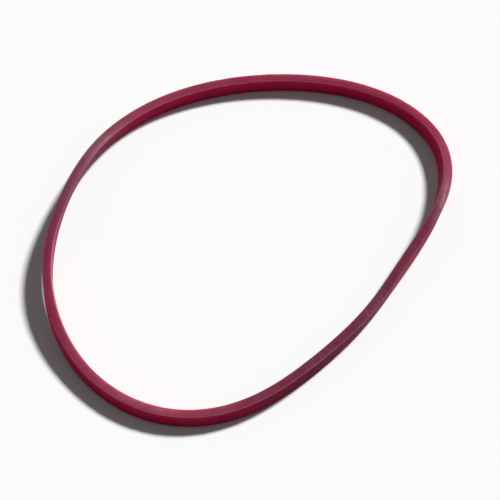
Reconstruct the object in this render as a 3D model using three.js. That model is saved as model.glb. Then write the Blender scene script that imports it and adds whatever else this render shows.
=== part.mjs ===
// Rubber band, slack and lying on a table.
//
// The band is one closed ring, sliced straight across a rubber tube. Its two cut
// faces look up and down, and the tube's own walls look in and out. It is turned
// first as a round ring, as it leaves the tube, and then laid in the easy loop
// that a slack band takes up: a shallow saddle, with two opposite stretches
// arched clear of the table and the section leaning a little at the bends.
//
// Millimetres, +Z up, the table at z = 0, the origin in the middle of the loop.

import * as THREE from "three";
import { mergeVertices } from "three/addons/utils/BufferGeometryUtils.js";

// The band itself
const FLAT_LENGTH = 63.5;     // drawn straight and flat, along the inside
const CUT_WIDTH = 1.85;       // from one cut face to the other
const WALL_THICKNESS = 1.05;  // of the tube it was sliced from
const EDGE_ROUNDING = 0.15;   // radius left along the four cut edges
const MOST_ROUNDING = 0.45;   // share of the section's thinner side

// The left stretch, which arches clear of the table
const ARCH_HEIGHT = 1.6;      // gap under the top of the arch
const ARCH_AT = 180;          // direction from the middle of the loop, in degrees
const ARCH_REACH = 56;        // degrees to either side before it touches down

// The right hand bend, which lifts in the same way, so that the loop is a saddle
const BEND_LIFT = 1.1;
const BEND_LIFT_AT = 5;
const BEND_LIFT_REACH = 38;

// The lean of the section, one swell to a line: its angle, its middle's direction
// and how far it reaches to either side, all in degrees. A section that leans
// inwards, at a positive angle, has its upper cut face nearer to the middle.
const LEANS = [
  { angle: -18, at: 20, reach: 35 },
  { angle: -10, at: 330, reach: 42 },
  { angle: 14, at: 155, reach: 45 },
];

// The loop's departure from a round ring. Each wave has its own number of crests,
// a height as a share of the loop's mean radius, and its first crest's direction
// in degrees.
const LOOP_WAVES = [
  { crests: 2, height: 0.147, firstCrest: 50.4 },
  { crests: 3, height: 0.056, firstCrest: 20.7 },
  { crests: 4, height: 0.0155, firstCrest: 37 },
  { crests: 5, height: 0.0105, firstCrest: 34 },
  { crests: 6, height: 0.007, firstCrest: 22 },
];

// Fineness of the surface
const STATIONS = 144;         // sections around the ring
const CORNER_DIVISIONS = 2;   // half the facets on each rounded edge
const LENGTH_SAMPLES = 1440;  // chords that measure the loop's length

const FULL_TURN = 2 * Math.PI;
const QUARTER_TURN = Math.PI / 2;
const radians = THREE.MathUtils.degToRad;

// The slack loop in plan, at a mean radius of 1. t runs from 0 to 1 around it.
class SlackLoop extends THREE.Curve {
  getPoint(t, target = new THREE.Vector3()) {
    const direction = t * FULL_TURN;
    const radius = this.radiusAt(direction);
    return target.set(radius * Math.cos(direction), radius * Math.sin(direction), 0);
  }

  radiusAt(direction) {
    let radius = 1;
    for (const wave of LOOP_WAVES) {
      radius += wave.height * Math.cos(wave.crests * (direction - radians(wave.firstCrest)));
    }
    return radius;
  }

  slopeAt(direction) {
    let slope = 0;
    for (const wave of LOOP_WAVES) {
      const phase = wave.crests * (direction - radians(wave.firstCrest));
      slope -= wave.height * wave.crests * Math.sin(phase);
    }
    return slope;
  }

  // Unit vector in plan that points straight out of the loop
  outwardAt(direction) {
    const radius = this.radiusAt(direction);
    const slope = this.slopeAt(direction);
    const along = new THREE.Vector2(
      slope * Math.cos(direction) - radius * Math.sin(direction),
      slope * Math.sin(direction) + radius * Math.cos(direction),
    ).normalize();
    return new THREE.Vector2(along.y, -along.x);
  }
}

// Smooth rise from 0 to 1 and back, within reach of the direction at (degrees)
function swell(direction, at, reach) {
  const away = direction - radians(at);
  const turned = Math.atan2(Math.sin(away), Math.cos(away));
  const share = Math.abs(turned) / radians(reach);
  return share < 1 ? Math.cos(share * QUARTER_TURN) ** 2 : 0;
}

function leanAt(direction) {
  let angle = 0;
  for (const lean of LEANS) {
    angle += lean.angle * swell(direction, lean.at, lean.reach);
  }
  return radians(angle);
}

// Gap between the section's lowest edge and the table
function gapAt(direction) {
  const arch = ARCH_HEIGHT * swell(direction, ARCH_AT, ARCH_REACH);
  const bend = BEND_LIFT * swell(direction, BEND_LIFT_AT, BEND_LIFT_REACH);
  return arch + bend;
}

// Height of the section's middle above the table
function middleHeightAt(direction, rounding) {
  const lean = leanAt(direction);
  const halfCut = CUT_WIDTH / 2 - rounding;
  const halfWall = WALL_THICKNESS / 2 - rounding;
  const standing = halfCut * Math.cos(lean) + halfWall * Math.abs(Math.sin(lean)) + rounding;
  return standing + gapAt(direction);
}

// Outline of the section, with x across the wall and y from cut face to cut face
function sectionOutline(rounding) {
  const x = WALL_THICKNESS / 2 - rounding;
  const y = CUT_WIDTH / 2 - rounding;
  const outline = new THREE.Path();
  outline.absarc(x, -y, rounding, -QUARTER_TURN, 0);
  outline.absarc(x, y, rounding, 0, QUARTER_TURN);
  outline.absarc(-x, y, rounding, QUARTER_TURN, Math.PI);
  outline.absarc(-x, -y, rounding, Math.PI, Math.PI + QUARTER_TURN);
  outline.closePath();
  return outline.getPoints(CORNER_DIVISIONS);
}

// The ring as it leaves the tube: the section turned about the tube's axis
function sliceOfTube(tubeRadius, rounding) {
  const profile = sectionOutline(rounding).map(
    (point) => new THREE.Vector2(tubeRadius + point.x, point.y),
  );
  const ring = new THREE.LatheGeometry(profile, STATIONS);
  ring.rotateX(QUARTER_TURN);
  ring.deleteAttribute("normal");
  ring.deleteAttribute("uv");
  return mergeVertices(ring);
}

// Moves each section of the round ring to its place on the slack loop
function layDown(ring, tubeRadius, loop, rounding) {
  const positions = ring.getAttribute("position");
  const vertex = new THREE.Vector3();
  for (let index = 0; index < positions.count; index += 1) {
    vertex.fromBufferAttribute(positions, index);
    const direction = Math.atan2(vertex.y, vertex.x);
    const across = Math.hypot(vertex.x, vertex.y) - tubeRadius;
    const lean = leanAt(direction);
    const outward = loop.outwardAt(direction);
    const offset = across * Math.cos(lean) - vertex.z * Math.sin(lean);
    const rise = across * Math.sin(lean) + vertex.z * Math.cos(lean);
    const reach = tubeRadius * loop.radiusAt(direction);
    positions.setXYZ(
      index,
      reach * Math.cos(direction) + offset * outward.x,
      reach * Math.sin(direction) + offset * outward.y,
      middleHeightAt(direction, rounding) + rise,
    );
  }
  return ring;
}

function rubberBand() {
  const thinnerSide = Math.min(WALL_THICKNESS, CUT_WIDTH);
  const rounding = Math.min(EDGE_ROUNDING, MOST_ROUNDING * thinnerSide);
  const loop = new SlackLoop();
  loop.arcLengthDivisions = LENGTH_SAMPLES;
  const middleOfWallLength = 2 * FLAT_LENGTH + Math.PI * WALL_THICKNESS;
  const meanRadius = middleOfWallLength / loop.getLength();

  const geometry = layDown(sliceOfTube(meanRadius, rounding), meanRadius, loop, rounding);
  geometry.computeBoundingBox();
  const middle = geometry.boundingBox.getCenter(new THREE.Vector3());
  geometry.translate(-middle.x, -middle.y, 0);
  geometry.computeVertexNormals();

  const crimsonRubber = new THREE.MeshStandardMaterial({
    color: 0x8c3049,
    roughness: 0.62,
    metalness: 0,
    flatShading: true,
  });
  const band = new THREE.Mesh(geometry, crimsonRubber);
  band.name = "rubber_band";
  return band;
}

const model = new THREE.Group();
model.add(rubberBand());

export default model;
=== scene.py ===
# Looks of a slack rubber band on a pale table
#
# The band is one ring of crimson rubber, sliced across a tube. It is modelled as
# it leaves the knife, as a round slice with the marks of the blade on its two cut
# faces and the faint lines of the die on its walls, and is then laid in the same
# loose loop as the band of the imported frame, which it stands for.

import math
import random

import bmesh
import bpy
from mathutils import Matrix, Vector, noise


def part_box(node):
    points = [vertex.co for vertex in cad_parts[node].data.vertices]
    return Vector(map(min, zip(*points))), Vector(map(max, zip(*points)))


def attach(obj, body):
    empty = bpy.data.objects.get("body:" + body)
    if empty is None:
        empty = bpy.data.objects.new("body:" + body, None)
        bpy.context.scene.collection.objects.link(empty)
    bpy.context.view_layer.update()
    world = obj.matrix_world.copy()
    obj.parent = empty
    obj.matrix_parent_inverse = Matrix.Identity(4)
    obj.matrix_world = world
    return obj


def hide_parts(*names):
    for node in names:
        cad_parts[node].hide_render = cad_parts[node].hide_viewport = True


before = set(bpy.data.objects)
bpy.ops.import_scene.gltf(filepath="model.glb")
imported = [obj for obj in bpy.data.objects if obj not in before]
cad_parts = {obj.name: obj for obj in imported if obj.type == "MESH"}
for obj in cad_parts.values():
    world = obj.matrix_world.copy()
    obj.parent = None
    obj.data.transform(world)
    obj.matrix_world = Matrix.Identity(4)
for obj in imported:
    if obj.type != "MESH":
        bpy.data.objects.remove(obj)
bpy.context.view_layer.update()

bl_info = {
    "name": "Slack Rubber Band",
    "version": (1, 0, 0),
    "blender": (4, 5, 0),
    "location": "View3D > Sidebar > Rubber Band",
    "description": "Models a slack rubber band and the pale table that it lies on",
    "category": "Object",
}

MM = 0.001
BAND_NODE = "rubber_band"

# Departure of the slack loop from a round ring, one wave to a line: its number of
# crests, its height as a share of the mean radius, its first crest's direction
LOOP_WAVES = (
    (2, 0.147, math.radians(50.4)),
    (3, 0.056, math.radians(20.7)),
    (4, 0.0155, math.radians(37)),
    (5, 0.0105, math.radians(34)),
    (6, 0.007, math.radians(22)),
)

# Lean of the section, one swell to a line: its angle, with the upper cut face
# inwards when positive, its middle's direction and its reach to either side
LEANS = (
    (math.radians(-18), math.radians(20), math.radians(35)),
    (math.radians(-10), math.radians(330), math.radians(42)),
    (math.radians(14), math.radians(155), math.radians(45)),
)

# Stretches that are darker, one to a line, partly where handling has dulled the rubber and partly
# painted shade:
# the middle's direction, the reach to either side and how far the middle is darkened
DULLED_AND_SHADED_STRETCHES = (
    (math.radians(310), math.radians(75), 1.0),
    (math.radians(162), math.radians(48), 1.0),
    (math.radians(5), math.radians(25), 0.55),
)

# Stretches that are paler, partly where a pale bloom has come out of the rubber and
# partly a painted highlight, given in the same way
BLOOMED_AND_LIT_STRETCHES = (
    (math.radians(138), math.radians(40), 1.0),
    (math.radians(247), math.radians(36), 1.3),
)

# Fineness of the modelled surface
CORNER_SEGMENTS = 3      # facets on each rounded cut edge
CUTS_ACROSS = 5          # finer edges across a cut face
CUTS_DOWN = 7            # finer edges down a wall
LENGTH_CHORDS = 1440     # chords that measure the loop's length
TABLE_SIDES = 96

# Most that the distance from the axis changes along an edge that leads from one
# section of the round slice to the next, as a share of the edge's length
MOST_DRIFT = 0.1

# Pitches of what the knife, the die and handling left on the surface
COARSE_MARK, FINE_MARK = 0.62 * MM, 0.27 * MM
DIE_LINE = 0.5 * MM
FRAY = 0.45 * MM
STRAY = 6.5 * MM

# Slant of the knife's coarse and fine marks across a cut face
COARSE_SLANT, FINE_SLANT = 0.35, 0.5

# Usual depth of the knife's marks as a share of the deepest, and how much the coarse
# and the fine ones change it
USUAL_MARK, COARSE_SHARE, FINE_SHARE = 0.35, 0.9, 0.5

# Depth of the die's lines and of the frayed edges, as shares of the knife's marks
DIE_LINE_SHARE, FRAY_SHARE = 0.3, 0.9

# Heights at which the noise is read, so that no two faces are marked alike
UPPER_CUT, LOWER_CUT, FINE_STEP = 11.3, 47.9, 5.1
OUTER_WALL, INNER_WALL = 71.7, 93.1
FRAYED_EDGES, EDGE_STEP = 21.0, 3
STRAYING, STRAY_STEP = 131.0, 9

# Small tears along the cut edges
NICK_COUNT = 26
NICK_SEED = 7
NICK_HALF_LENGTHS = 0.12 * MM, 0.38 * MM
NICK_DEPTH_SHARES = 0.35, 1.0

# Noise patterns of the finish. Scores and die lines run along the ring, the others
# through each millimetre of the rubber.
SCORES = {"scale": 190.0, "detail": 3.0, "roughness": 0.65}
DIE_LINES = {"scale": 85.0, "detail": 2.0, "roughness": 0.5}
CLOUDS = {"scale": 0.35, "detail": 3.0, "roughness": 0.5}
GRAIN = {"scale": 9.0, "detail": 4.0, "roughness": 0.7}
SPECKS = {"scale": 5.5, "detail": 2.0, "roughness": 0.5}

# Where each pattern fades in, from its first value to its last
CUT_FADE = 0.15, 0.65
SCORE_FADE = 0.45, 0.70
DIE_LINE_FADE = 0.50, 0.70
CLOUD_FADE = 0.30, 0.75
WALL_CLOUD_FADE = 0.50, 0.80
SPECK_FADE = 0.62, 0.75

# How far the clouds break up the darker stretches of dulling and painted shade, and the clouds'
# middle value
DULLED_AND_SHADED_IN_CLOUDS, MIDDLE_CLOUD = 0.5, 0.5

# Share of the rubber that pale bloom covers; along the cut edges and on the paler stretches it is
# partly a painted highlight
BLOOM_EVERYWHERE = 0.005
BLOOM_IN_CLOUDS = 0.03
BLOOM_IN_SCORES = 0.03
BLOOM_ON_WALL = 0.01
BLOOM_AND_HIGHLIGHT_STRETCH, BLOOM_AND_HIGHLIGHT_STRETCH_CLOUDS = 0.03, 0.06
BLOOM_SPECKS = 0.03
BLOOM_AND_HIGHLIGHT_ON_EDGES = 0.17

# Roughness of the walls and what is added to it
WALL_ROUGHNESS = 0.40
CUT_ROUGHNESS = 0.04
GRAIN_ROUGHNESS = 0.10
SPECK_ROUGHNESS = 0.08

# Relief too fine to be modelled, as shares of the relief's depth
SCORE_RELIEF, DIE_LINE_RELIEF, GRAIN_RELIEF = 0.55, 0.25, 0.30
RELIEF_STRENGTH, RELIEF_DEPTH = 0.35, 0.04 * MM

# Gloss that the knife left on the cut faces, how much of it is lost on the darker stretches of
# dulling and painted shade, and its roughness
CUT_GLOSS, GLOSS_LOST, GLOSS_ROUGHNESS = 0.16, 0.8, 0.3

# What is the same all over the rubber: how it bends light, how little its walls
# mirror, and how far red, green and blue light travel inside it
RUBBER_IOR = 1.5
WALL_MIRROR = 0.02
GLOW_SHARES = 1.0, 0.06, 0.12

# Finish of the table
TABLE_ROUGHNESS, TABLE_MIRROR = 0.85, 0.2

# Nearest thing that the camera shows, as a share of the view distance
NEAREST_SHOWN = 0.1


class BandSizes(bpy.types.PropertyGroup):
    """Sizes and colours of the rubber band"""

    flat_length: bpy.props.FloatProperty(
        name="Flat Length",
        description="Length of the band drawn straight and flat, along the inside",
        default=63.5 * MM,
        unit="LENGTH",
    )
    cut_width: bpy.props.FloatProperty(
        name="Cut Width",
        description="Distance from one cut face to the other",
        default=1.85 * MM,
        unit="LENGTH",
    )
    wall: bpy.props.FloatProperty(
        name="Wall",
        description="Thickness of the tube that the band was sliced from",
        default=1.05 * MM,
        unit="LENGTH",
    )
    edge_rounding: bpy.props.FloatProperty(
        name="Edge Rounding",
        description="Radius left along the four cut edges",
        default=0.15 * MM,
        unit="LENGTH",
    )
    crown: bpy.props.FloatProperty(
        name="Crown",
        description="How much lower a cut face is at its edges than in its middle",
        default=0.045 * MM,
        unit="LENGTH",
    )
    arch_height: bpy.props.FloatProperty(
        name="Arch Height",
        description="Gap under the top of the left stretch, which arches off the table",
        default=1.6 * MM,
        unit="LENGTH",
    )
    arch_at: bpy.props.FloatProperty(
        name="Arch Direction",
        description="Direction of the arch's top from the middle of the loop",
        default=math.radians(180),
        subtype="ANGLE",
    )
    arch_reach: bpy.props.FloatProperty(
        name="Arch Reach",
        description="Turn from the arch's top to where it touches down",
        default=math.radians(56),
        subtype="ANGLE",
    )
    bend_lift: bpy.props.FloatProperty(
        name="Bend Lift",
        description="Gap under the right hand bend, which lifts as the arch does",
        default=1.1 * MM,
        unit="LENGTH",
    )
    bend_lift_at: bpy.props.FloatProperty(
        name="Bend Lift Direction",
        description="Direction of the top of that lift from the middle of the loop",
        default=math.radians(5),
        subtype="ANGLE",
    )
    bend_lift_reach: bpy.props.FloatProperty(
        name="Bend Lift Reach",
        description="Turn from the top of that lift to where it touches down",
        default=math.radians(38),
        subtype="ANGLE",
    )
    stations: bpy.props.IntProperty(
        name="Stations",
        description="Sections turned around the ring",
        default=275,
    )
    station_cuts: bpy.props.IntProperty(
        name="Station Cuts",
        description="Finer sections made between each two of those",
        default=7,
    )
    blade_mark_depth: bpy.props.FloatProperty(
        name="Blade Mark Depth",
        description="Depth of the marks that the knife left across the cut faces",
        default=0.016 * MM,
        unit="LENGTH",
    )
    wander: bpy.props.FloatProperty(
        name="Wander",
        description="How far the cut and the wall stray from their true thickness",
        default=0.022 * MM,
        unit="LENGTH",
    )
    nick_depth: bpy.props.FloatProperty(
        name="Nick Depth",
        description="Depth of the small tears along the cut edges",
        default=0.07 * MM,
        unit="LENGTH",
    )
    wall_colour: bpy.props.FloatVectorProperty(
        name="Wall Colour",
        description="Colour of the clean, smooth rubber of the tube's walls",
        default=(0.41, 0.011, 0.074),
        subtype="COLOR",
    )
    # Darker wall colour of the darker stretches, partly dulled rubber and partly painted shade
    dulled_and_shaded_wall_colour: bpy.props.FloatVectorProperty(
        name="Dulled Wall Colour",
        description="Colour of the walls where handling and air have dulled them",
        default=(0.155, 0.006, 0.036),
        subtype="COLOR",
    )
    cut_colour: bpy.props.FloatVectorProperty(
        name="Cut Colour",
        description="Colour of the rubber of the cut faces where they are fresh",
        default=(0.225, 0.020, 0.067),
        subtype="COLOR",
    )
    # Darker cut face colour of the darker stretches, partly dulled rubber and partly painted
    # shade
    dulled_and_shaded_cut_colour: bpy.props.FloatVectorProperty(
        name="Dulled Cut Colour",
        description="Colour of the cut faces where handling and air have dulled them",
        default=(0.137, 0.021, 0.053),
        subtype="COLOR",
    )
    glow_depth: bpy.props.FloatProperty(
        name="Glow Depth",
        description="How far red light travels inside the rubber",
        default=2.0 * MM,
        unit="LENGTH",
    )
    # Also the colour of the painted highlight along the cut edges and on the paler stretches
    bloom_and_highlight_colour: bpy.props.FloatVectorProperty(
        name="Bloom Colour",
        description="Colour of the dusty bloom on the rubber",
        default=(0.72, 0.42, 0.46),
        subtype="COLOR",
    )


class StageSizes(bpy.types.PropertyGroup):
    """Table, lamp, room light and camera"""

    table_colour: bpy.props.FloatVectorProperty(
        name="Table Colour",
        description="Colour of the pale table",
        default=(0.93, 0.935, 0.935),
        subtype="COLOR",
    )
    bounce_colour: bpy.props.FloatVectorProperty(
        name="Bounce Colour",
        description="Colour of the table in the light that it throws back on the band",
        default=(0.60, 0.61, 0.62),
        subtype="COLOR",
    )
    table_radius: bpy.props.FloatProperty(
        name="Table Radius",
        description="Radius of the round table top",
        default=3.0,
        unit="LENGTH",
    )
    view_elevation: bpy.props.FloatProperty(
        name="View Elevation",
        description="Angle of the camera above the table",
        default=math.radians(55),
        subtype="ANGLE",
    )
    view_distance: bpy.props.FloatProperty(
        name="View Distance",
        description="Distance from the camera to the point that it looks at",
        default=0.36,
        unit="LENGTH",
    )
    view_middle: bpy.props.FloatVectorProperty(
        name="View Middle",
        description="Point that the camera looks at",
        default=(0.05 * MM, -0.03 * MM, 0.0),
        unit="LENGTH",
    )
    view_width: bpy.props.FloatProperty(
        name="View Width",
        description="Width of table that fills the picture at that point",
        default=51.8 * MM,
        unit="LENGTH",
    )
    lamp_elevation: bpy.props.FloatProperty(
        name="Lamp Elevation",
        description="Angle of the main lamp above the table",
        default=math.radians(46),
        subtype="ANGLE",
    )
    lamp_direction: bpy.props.FloatProperty(
        name="Lamp Direction",
        description="Direction of the main lamp, counted from +X",
        default=math.radians(43),
        subtype="ANGLE",
    )
    lamp_strength: bpy.props.FloatProperty(
        name="Lamp Strength",
        description="Strength of the main lamp",
        default=4.0,
    )
    lamp_spread: bpy.props.FloatProperty(
        name="Lamp Spread",
        description="Angle that the lamp fills as the band sees it, which softens the shadow",
        default=math.radians(10),
        subtype="ANGLE",
    )
    room_colour: bpy.props.FloatVectorProperty(
        name="Room Colour",
        description="Colour of the light that the room gives from all round",
        default=(0.95, 0.98, 1.0),
        subtype="COLOR",
    )
    room_strength: bpy.props.FloatProperty(
        name="Room Strength",
        description="Strength of the light that the room gives from all round",
        default=0.12,
    )


def swell(direction, at, reach):
    """Smooth rise from 0 to 1 and back, within reach of the direction at."""
    away = direction - at
    share = abs(math.atan2(math.sin(away), math.cos(away))) / reach
    return math.cos(share * math.pi / 2) ** 2 if share < 1 else 0.0


def stretches_share(direction, stretches):
    """How strongly the stretches together mark the band in a direction."""
    return sum(share * swell(direction, at, reach) for at, reach, share in stretches)


def loop_radius(direction):
    """Radius of the slack loop for a mean radius of 1."""
    waves = (height * math.cos(crests * (direction - at)) for crests, height, at in LOOP_WAVES)
    return 1 + sum(waves)


def loop_slope(direction):
    """Change of that radius with the direction."""
    return -sum(
        height * crests * math.sin(crests * (direction - at))
        for crests, height, at in LOOP_WAVES
    )


def loop_outward(direction):
    """Unit vector in plan that points straight out of the loop."""
    radius, slope = loop_radius(direction), loop_slope(direction)
    east = slope * math.cos(direction) - radius * math.sin(direction)
    north = slope * math.sin(direction) + radius * math.cos(direction)
    return Vector((north, -east, 0)).normalized()


def loop_length():
    """Length of the slack loop for a mean radius of 1."""
    total = 0.0
    for index in range(LENGTH_CHORDS):
        start, end = (2 * math.pi * step / LENGTH_CHORDS for step in (index, index + 1))
        first = Vector((math.cos(start), math.sin(start))) * loop_radius(start)
        second = Vector((math.cos(end), math.sin(end))) * loop_radius(end)
        total += (second - first).length
    return total


def cut_section(mesh, sizes, tube_radius):
    """Outline of the section in the XZ plane, with rounded corners and fine sides."""
    x, z = sizes.wall / 2, sizes.cut_width / 2
    corners = [mesh.verts.new((tube_radius + sx * x, 0, sz * z))
               for sx, sz in ((-1, -1), (1, -1), (1, 1), (-1, 1))]
    mesh.faces.new(corners)
    bmesh.ops.bevel(
        mesh,
        geom=corners,
        offset=sizes.edge_rounding,
        segments=CORNER_SEGMENTS,
        profile=0.5,
        affect="VERTICES",
        material=-1,
    )
    bmesh.ops.delete(mesh, geom=mesh.faces[:], context="FACES_ONLY")
    for cuts, axis in ((CUTS_ACROSS, 0), (CUTS_DOWN, 2)):
        edges = [edge for edge in mesh.edges
                 if abs(edge.verts[0].co[axis] - edge.verts[1].co[axis]) > sizes.edge_rounding]
        bmesh.ops.subdivide_edges(mesh, edges=edges, cuts=cuts)


def runs_along(edge):
    """Whether an edge leads from one section to the next and not round a section."""
    first, second = (Vector((vertex.co.x, vertex.co.y)) for vertex in edge.verts)
    return abs(first.length - second.length) < MOST_DRIFT * (first - second).length


def round_slice(sizes, tube_radius):
    """The ring as it leaves the tube, turned about the tube's axis."""
    mesh = bmesh.new()
    cut_section(mesh, sizes, tube_radius)
    bmesh.ops.spin(
        mesh,
        geom=mesh.verts[:] + mesh.edges[:],
        cent=(0, 0, 0),
        axis=(0, 0, 1),
        angle=2 * math.pi,
        steps=sizes.stations,
        use_merge=True,
    )
    along = [edge for edge in mesh.edges if runs_along(edge)]
    bmesh.ops.subdivide_edges(mesh, edges=along, cuts=sizes.station_cuts)
    bmesh.ops.recalc_face_normals(mesh, faces=mesh.faces[:])
    return mesh


class Place:
    """Where a vertex of the round slice lies in the section and around the ring."""

    def __init__(self, co, sizes, tube_radius):
        self.direction = math.atan2(co.y, co.x)
        self.across = math.hypot(co.x, co.y) - tube_radius
        self.up = co.z
        beyond_wall = abs(self.across) - (sizes.wall / 2 - sizes.edge_rounding)
        beyond_cut = abs(self.up) - (sizes.cut_width / 2 - sizes.edge_rounding)
        turn = math.atan2(max(beyond_cut, 0.0), max(beyond_wall, 0.0))
        self.cut_share = turn / (math.pi / 2)
        self.edge_share = math.sin(2 * turn)
        self.outward = Vector((
            math.copysign(math.cos(turn), self.across),
            math.copysign(math.sin(turn), self.up),
        ))
        self.ring = Vector((math.cos(self.direction), math.sin(self.direction), 0.0))


def ring_noise(place, tube_radius, pitch, height, slant=0.0):
    """Noise along the ring, seamless where the ring closes, with features a pitch long."""
    turned = place.direction + slant * place.across / tube_radius
    around = Vector((math.cos(turned), math.sin(turned), 0.0)) * (tube_radius / pitch)
    return noise.noise(around + Vector((0.0, 0.0, height)))


def blade_marks(place, tube_radius):
    """0 to 1, how deep the knife's marks are at a place on a cut face."""
    side = UPPER_CUT if place.up > 0 else LOWER_CUT
    coarse = ring_noise(place, tube_radius, COARSE_MARK, side, COARSE_SLANT)
    fine = ring_noise(place, tube_radius, FINE_MARK, side + FINE_STEP, FINE_SLANT)
    depth = USUAL_MARK + COARSE_SHARE * coarse + FINE_SHARE * fine
    return min(1.0, max(0.0, depth))


def die_lines(place, tube_radius):
    """0 to 1, depth of the faint lines that the die drew along the tube."""
    side = OUTER_WALL if place.across > 0 else INNER_WALL
    return max(0.0, ring_noise(place, tube_radius, DIE_LINE, side))


def edge_nicks(tube_radius):
    """Small tears: direction, half length as an angle, depth share, and edge."""
    chance = random.Random(NICK_SEED)
    return [
        (
            chance.uniform(-math.pi, math.pi),
            chance.uniform(*NICK_HALF_LENGTHS) / tube_radius,
            chance.uniform(*NICK_DEPTH_SHARES),
            (chance.choice((-1, 1)), chance.choice((-1, 1))),
        )
        for _ in range(NICK_COUNT)
    ]


def nick_share(place, nicks):
    """How far a place on a cut edge is torn away, from 0 to 1."""
    deepest = 0.0
    for at, half_length, depth, (side, face) in nicks:
        if place.across * side < 0 or place.up * face < 0:
            continue
        away = place.direction - at
        share = abs(math.atan2(math.sin(away), math.cos(away))) / half_length
        if share < 1:
            deepest = max(deepest, depth * (1 - share * share) ** 2)
    return deepest


def worn_inwards(place, sizes, tube_radius, nicks):
    """How far the surface lies inside the true section at a place."""
    marks = sizes.blade_mark_depth * place.cut_share * blade_marks(place, tube_radius)
    line_depth = DIE_LINE_SHARE * sizes.blade_mark_depth
    lines = line_depth * (1 - place.cut_share) * die_lines(place, tube_radius)
    torn = sizes.nick_depth * place.edge_share * nick_share(place, nicks)
    edge = EDGE_STEP * math.copysign(1, place.across) + math.copysign(1, place.up)
    ragged = ring_noise(place, tube_radius, FRAY, FRAYED_EDGES + edge)
    fray = FRAY_SHARE * sizes.blade_mark_depth * place.edge_share * max(0.0, ragged)
    side = STRAYING + STRAY_STEP * place.cut_share
    stray = (1 + ring_noise(place, tube_radius, STRAY, side)) / 2
    crown = sizes.crown * place.cut_share * (2 * place.across / sizes.wall) ** 2
    return marks + lines + torn + fray + crown + sizes.wander * stray


def laid_point(place, sizes, tube_radius, inwards):
    """The vertex's place on the slack loop."""
    across = place.across - inwards * place.outward.x
    up = place.up - inwards * place.outward.y
    lean = sum(angle * swell(place.direction, at, reach) for angle, at, reach in LEANS)
    half_cut = sizes.cut_width / 2 - sizes.edge_rounding
    half_wall = sizes.wall / 2 - sizes.edge_rounding
    standing = half_cut * math.cos(lean) + half_wall * abs(math.sin(lean)) + sizes.edge_rounding
    arch = sizes.arch_height * swell(place.direction, sizes.arch_at, sizes.arch_reach)
    bend = sizes.bend_lift * swell(place.direction, sizes.bend_lift_at, sizes.bend_lift_reach)
    offset = across * math.cos(lean) - up * math.sin(lean)
    rise = across * math.sin(lean) + up * math.cos(lean)
    middle = place.ring * (tube_radius * loop_radius(place.direction))
    height = standing + arch + bend + rise
    return middle + loop_outward(place.direction) * offset + Vector((0, 0, height))


def lay_down(mesh, sizes, tube_radius):
    """Wears the round slice, lays it in its loop and notes what each vertex was."""
    slice_place = mesh.verts.layers.float_vector.new("slice_place")
    cut_face = mesh.verts.layers.float.new("cut_face")
    cut_edge = mesh.verts.layers.float.new("cut_edge")
    # The next two layers mark darker stretches, partly dulled rubber and partly painted shade,
    # and paler stretches, partly bloom and partly a painted highlight
    dulled_and_shaded = mesh.verts.layers.float.new("dulled_and_shaded")
    bloomed_and_lit = mesh.verts.layers.float.new("bloomed_and_lit")
    nicks = edge_nicks(tube_radius)
    for vertex in mesh.verts:
        place = Place(vertex.co, sizes, tube_radius)
        vertex[slice_place] = vertex.co / MM
        vertex[cut_face] = place.cut_share
        vertex[cut_edge] = place.edge_share
        # Shares of the darker stretches, in part painted shade, and of the paler stretches, in
        # part a painted highlight
        vertex[dulled_and_shaded] = stretches_share(place.direction, DULLED_AND_SHADED_STRETCHES)
        vertex[bloomed_and_lit] = stretches_share(place.direction, BLOOMED_AND_LIT_STRETCHES)
        inwards = worn_inwards(place, sizes, tube_radius, nicks)
        vertex.co = laid_point(place, sizes, tube_radius, inwards)


def centred_on_frame(mesh):
    """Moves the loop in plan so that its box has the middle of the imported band's."""
    low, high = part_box(BAND_NODE)
    for axis in (0, 1):
        values = [vertex.co[axis] for vertex in mesh.verts]
        shift = Vector((0, 0, 0))
        shift[axis] = (low[axis] + high[axis]) / 2 - (min(values) + max(values)) / 2
        bmesh.ops.translate(mesh, vec=shift, verts=mesh.verts[:])


class Reading:
    """A number read from a node's socket. Python's signs add the Math nodes."""

    def __init__(self, nodes, socket):
        self.nodes = nodes
        self.socket = socket

    def maths(self, operation, *terms):
        inputs = dict(enumerate(terms))
        return self.nodes.add("ShaderNodeMath", {"operation": operation}, inputs)

    def __add__(self, other):
        return self.maths("ADD", self, other)

    def __radd__(self, other):
        return self.maths("ADD", other, self)

    def __sub__(self, other):
        return self.maths("SUBTRACT", self, other)

    def __rsub__(self, other):
        return self.maths("SUBTRACT", other, self)

    def __mul__(self, other):
        return self.maths("MULTIPLY", self, other)

    def __rmul__(self, other):
        return self.maths("MULTIPLY", other, self)

    def over(self, low, high):
        """0 below low, 1 above high and smooth between."""
        settings = {"interpolation_type": "SMOOTHSTEP"}
        inputs = {"Value": self, "From Min": low, "From Max": high}
        return self.nodes.add("ShaderNodeMapRange", settings, inputs)


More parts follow.
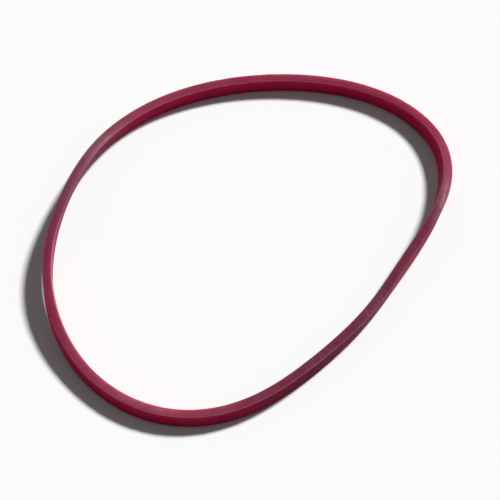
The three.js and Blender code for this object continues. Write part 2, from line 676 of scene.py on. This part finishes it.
class FinishNodes:
    """The node tree of one finish."""

    def __init__(self, name):
        self.material = bpy.data.materials.new(name)
        self.material.use_nodes = True
        self.tree = self.material.node_tree
        self.tree.nodes.clear()

    def add(self, kind, settings=None, inputs=None, output=0):
        """Adds a node, sets it up, and gives the reading of one of its outputs."""
        node = self.tree.nodes.new(kind)
        for name, value in (settings or {}).items():
            setattr(node, name, value)
        for name, value in (inputs or {}).items():
            socket = self.found(node.inputs, name)
            if isinstance(value, Reading):
                self.tree.links.new(value.socket, socket)
            else:
                socket.default_value = value
        return Reading(self, self.found(node.outputs, output)) if node.outputs else None

    @staticmethod
    def found(sockets, name):
        """A socket by its number, its identifier or its name."""
        if isinstance(name, int):
            return sockets[name]
        by_identifier = [socket for socket in sockets if socket.identifier == name]
        return by_identifier[0] if by_identifier else sockets[name]

    def mixed(self, share, first, second):
        """A colour between two, at a share of the way."""
        settings = {"data_type": "RGBA"}
        inputs = {"Factor_Float": share, "A_Color": first, "B_Color": second}
        return self.add("ShaderNodeMix", settings, inputs, "Result_Color")

    def vector_maths(self, operation, *terms):
        inputs = dict(enumerate(terms))
        return self.add("ShaderNodeVectorMath", {"operation": operation}, inputs, "Vector")

    def noise(self, place, scale, detail, roughness):
        inputs = {"Vector": place, "Scale": scale, "Detail": detail, "Roughness": roughness}
        return self.add("ShaderNodeTexNoise", None, inputs)

    def bump(self, relief, strength, depth):
        inputs = {"Height": relief, "Strength": strength, "Distance": depth}
        return self.add("ShaderNodeBump", None, inputs)

    def attribute(self, name, output="Fac"):
        return self.add("ShaderNodeAttribute", {"attribute_name": name}, None, output)

    def surface(self, inputs):
        """Ends the tree in a Principled shader with these inputs."""
        shader = self.add("ShaderNodeBsdfPrincipled", None, inputs)
        self.add("ShaderNodeOutputMaterial", None, {"Surface": shader})
        return self.material


def opaque(colour):
    return (*colour, 1.0)


def crimson_rubber(sizes):
    """Vulcanised rubber: clear matt walls, duller and finely scored cut faces, pale bloom,
    painted shade on the darker stretches and a painted highlight on the paler stretches and along
    the cut edges.
    """
    nodes = FinishNodes("crimson_rubber")
    place = nodes.attribute("slice_place", "Vector")
    around = nodes.vector_maths("MULTIPLY", place, (1.0, 1.0, 0.0))
    around = nodes.vector_maths("NORMALIZE", around)
    cut = nodes.attribute("cut_face").over(*CUT_FADE)
    edge = nodes.attribute("cut_edge")
    scores = nodes.noise(around, **SCORES)
    lines = nodes.noise(around, **DIE_LINES)
    clouds = nodes.noise(place, **CLOUDS)
    grain = nodes.noise(place, **GRAIN)
    specks = nodes.noise(place, **SPECKS).over(*SPECK_FADE)
    # Darker stretches, partly dulled rubber and partly painted shade, take the darker cut and
    # wall colours below
    patches = DULLED_AND_SHADED_IN_CLOUDS * (clouds - MIDDLE_CLOUD)
    dulled_and_shaded = (nodes.attribute("dulled_and_shaded") + patches).over(0.0, 1.0)

    on_cut = nodes.mixed(dulled_and_shaded, opaque(sizes.cut_colour), opaque(sizes.dulled_and_shaded_cut_colour))
    on_wall = nodes.mixed(dulled_and_shaded, opaque(sizes.wall_colour), opaque(sizes.dulled_and_shaded_wall_colour))
    rubber = nodes.mixed(cut, on_wall, on_cut)
    # On the paler stretches this bloom is partly a painted highlight
    cut_bloom_and_highlight = (BLOOM_EVERYWHERE + BLOOM_IN_CLOUDS * clouds.over(*CLOUD_FADE)
                 + BLOOM_IN_SCORES * scores.over(*SCORE_FADE)
                 + nodes.attribute("bloomed_and_lit") * (BLOOM_AND_HIGHLIGHT_STRETCH + BLOOM_AND_HIGHLIGHT_STRETCH_CLOUDS * clouds))
    wall_bloom = BLOOM_ON_WALL * (clouds.over(*WALL_CLOUD_FADE) + lines.over(*DIE_LINE_FADE))
    # Along the cut edges the added bloom is partly a painted highlight
    bloom_and_highlight = (cut * cut_bloom_and_highlight + (1 - cut) * wall_bloom
             + BLOOM_SPECKS * specks + BLOOM_AND_HIGHLIGHT_ON_EDGES * edge)

    relief = SCORE_RELIEF * cut * scores + DIE_LINE_RELIEF * (1 - cut) * lines
    relief = relief + GRAIN_RELIEF * grain
    return nodes.surface({
        "Base Color": nodes.mixed(bloom_and_highlight, rubber, opaque(sizes.bloom_and_highlight_colour)),
        "Roughness": (WALL_ROUGHNESS + CUT_ROUGHNESS * cut + GRAIN_ROUGHNESS * grain
                      + SPECK_ROUGHNESS * specks),
        "Normal": nodes.bump(relief, RELIEF_STRENGTH, RELIEF_DEPTH),
        "IOR": RUBBER_IOR,
        "Specular IOR Level": WALL_MIRROR,
        "Coat Weight": CUT_GLOSS * (cut + edge) * (1 - GLOSS_LOST * dulled_and_shaded),
        "Coat Roughness": GLOSS_ROUGHNESS,
        "Coat IOR": RUBBER_IOR,
        "Subsurface Weight": 1.0,
        "Subsurface Radius": GLOW_SHARES,
        "Subsurface Scale": sizes.glow_depth,
    })


def pale_table(stage):
    """Plain pale table top, white to the eye and greyer in the light that it throws back."""
    nodes = FinishNodes("pale_table")
    seen, mirrored, through = (
        nodes.add("ShaderNodeLightPath", None, None, ray)
        for ray in ("Is Camera Ray", "Is Glossy Ray", "Is Transmission Ray")
    )
    shown = (seen + mirrored + through).over(0.0, 1.0)
    return nodes.surface({
        "Base Color": nodes.mixed(shown, opaque(stage.bounce_colour), opaque(stage.table_colour)),
        "Roughness": TABLE_ROUGHNESS,
        "Specular IOR Level": TABLE_MIRROR,
    })


def shown_object(name, mesh, material):
    """Turns a bmesh into a smooth object at the origin with one material."""
    data = bpy.data.meshes.new(name)
    mesh.to_mesh(data)
    mesh.free()
    data.materials.append(material)
    data.shade_smooth()
    piece = bpy.data.objects.new(name, data)
    bpy.context.scene.collection.objects.link(piece)
    return piece


class RUBBERBAND_OT_band(bpy.types.Operator):
    """Model the crimson band in its slack loop"""

    bl_idname = "rubberband.band"
    bl_label = "Rubber Band"

    def execute(self, context):
        sizes = context.scene.band_sizes
        middle_of_wall = 2 * sizes.flat_length + math.pi * sizes.wall
        tube_radius = middle_of_wall / loop_length()
        mesh = round_slice(sizes, tube_radius)
        lay_down(mesh, sizes, tube_radius)
        centred_on_frame(mesh)
        band = shown_object("crimson_band", mesh, crimson_rubber(sizes))
        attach(band, "root")
        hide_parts(BAND_NODE)
        return {"FINISHED"}


class RUBBERBAND_OT_stage(bpy.types.Operator):
    """Set the table, the lamp, the room light and the camera"""

    bl_idname = "rubberband.stage"
    bl_label = "Table, Lamp and Camera"

    def execute(self, context):
        stage = context.scene.stage_sizes
        self.lay_table(stage)
        self.hang_lamp(stage)
        self.light_room(context.scene, stage)
        self.aim_camera(context.scene, stage)
        context.scene.view_settings.view_transform = "Standard"
        return {"FINISHED"}

    def lay_table(self, stage):
        mesh = bmesh.new()
        bmesh.ops.create_circle(
            mesh, cap_ends=True, radius=stage.table_radius, segments=TABLE_SIDES)
        table = shown_object("table_top", mesh, pale_table(stage))

    def hang_lamp(self, stage):
        towards_lamp = Vector((
            math.cos(stage.lamp_elevation) * math.cos(stage.lamp_direction),
            math.cos(stage.lamp_elevation) * math.sin(stage.lamp_direction),
            math.sin(stage.lamp_elevation),
        ))
        data = bpy.data.lights.new("main_lamp", "SUN")
        data.energy = stage.lamp_strength
        data.angle = stage.lamp_spread
        lamp = bpy.data.objects.new("main_lamp", data)
        lamp.rotation_euler = towards_lamp.to_track_quat("Z", "Y").to_euler()
        bpy.context.scene.collection.objects.link(lamp)

    def light_room(self, scene, stage):
        world = bpy.data.worlds.new("pale_room")
        world.use_nodes = True
        background = world.node_tree.nodes["Background"]
        background.inputs["Color"].default_value = opaque(stage.room_colour)
        background.inputs["Strength"].default_value = stage.room_strength
        scene.world = world

    def aim_camera(self, scene, stage):
        back = Vector((0, -math.cos(stage.view_elevation), math.sin(stage.view_elevation)))
        data = bpy.data.cameras.new("camera")
        data.lens = data.sensor_width * stage.view_distance / stage.view_width
        data.clip_start = NEAREST_SHOWN * stage.view_distance
        camera = bpy.data.objects.new("camera", data)
        camera.location = Vector(stage.view_middle) + back * stage.view_distance
        camera.rotation_euler = back.to_track_quat("Z", "Y").to_euler()
        scene.collection.objects.link(camera)
        scene.camera = camera


class RUBBERBAND_PT_panel(bpy.types.Panel):
    """Lists the band and its stage in the sidebar"""

    bl_label = "Rubber Band"
    bl_space_type = "VIEW_3D"
    bl_region_type = "UI"
    bl_category = "Rubber Band"

    def draw(self, context):
        for operator, sizes in ((RUBBERBAND_OT_band, context.scene.band_sizes),
                                (RUBBERBAND_OT_stage, context.scene.stage_sizes)):
            self.layout.operator(operator.bl_idname)
            for name in sizes.__annotations__:
                self.layout.prop(sizes, name)


CLASSES = (
    BandSizes,
    StageSizes,
    RUBBERBAND_OT_band,
    RUBBERBAND_OT_stage,
    RUBBERBAND_PT_panel,
)


def register():
    for cls in CLASSES:
        bpy.utils.register_class(cls)
    bpy.types.Scene.band_sizes = bpy.props.PointerProperty(type=BandSizes)
    bpy.types.Scene.stage_sizes = bpy.props.PointerProperty(type=StageSizes)


def unregister():
    del bpy.types.Scene.stage_sizes
    del bpy.types.Scene.band_sizes
    for cls in reversed(CLASSES):
        bpy.utils.unregister_class(cls)


def main():
    register()
    bpy.ops.rubberband.stage()
    bpy.ops.rubberband.band()


if __name__ == "__main__":
    main()
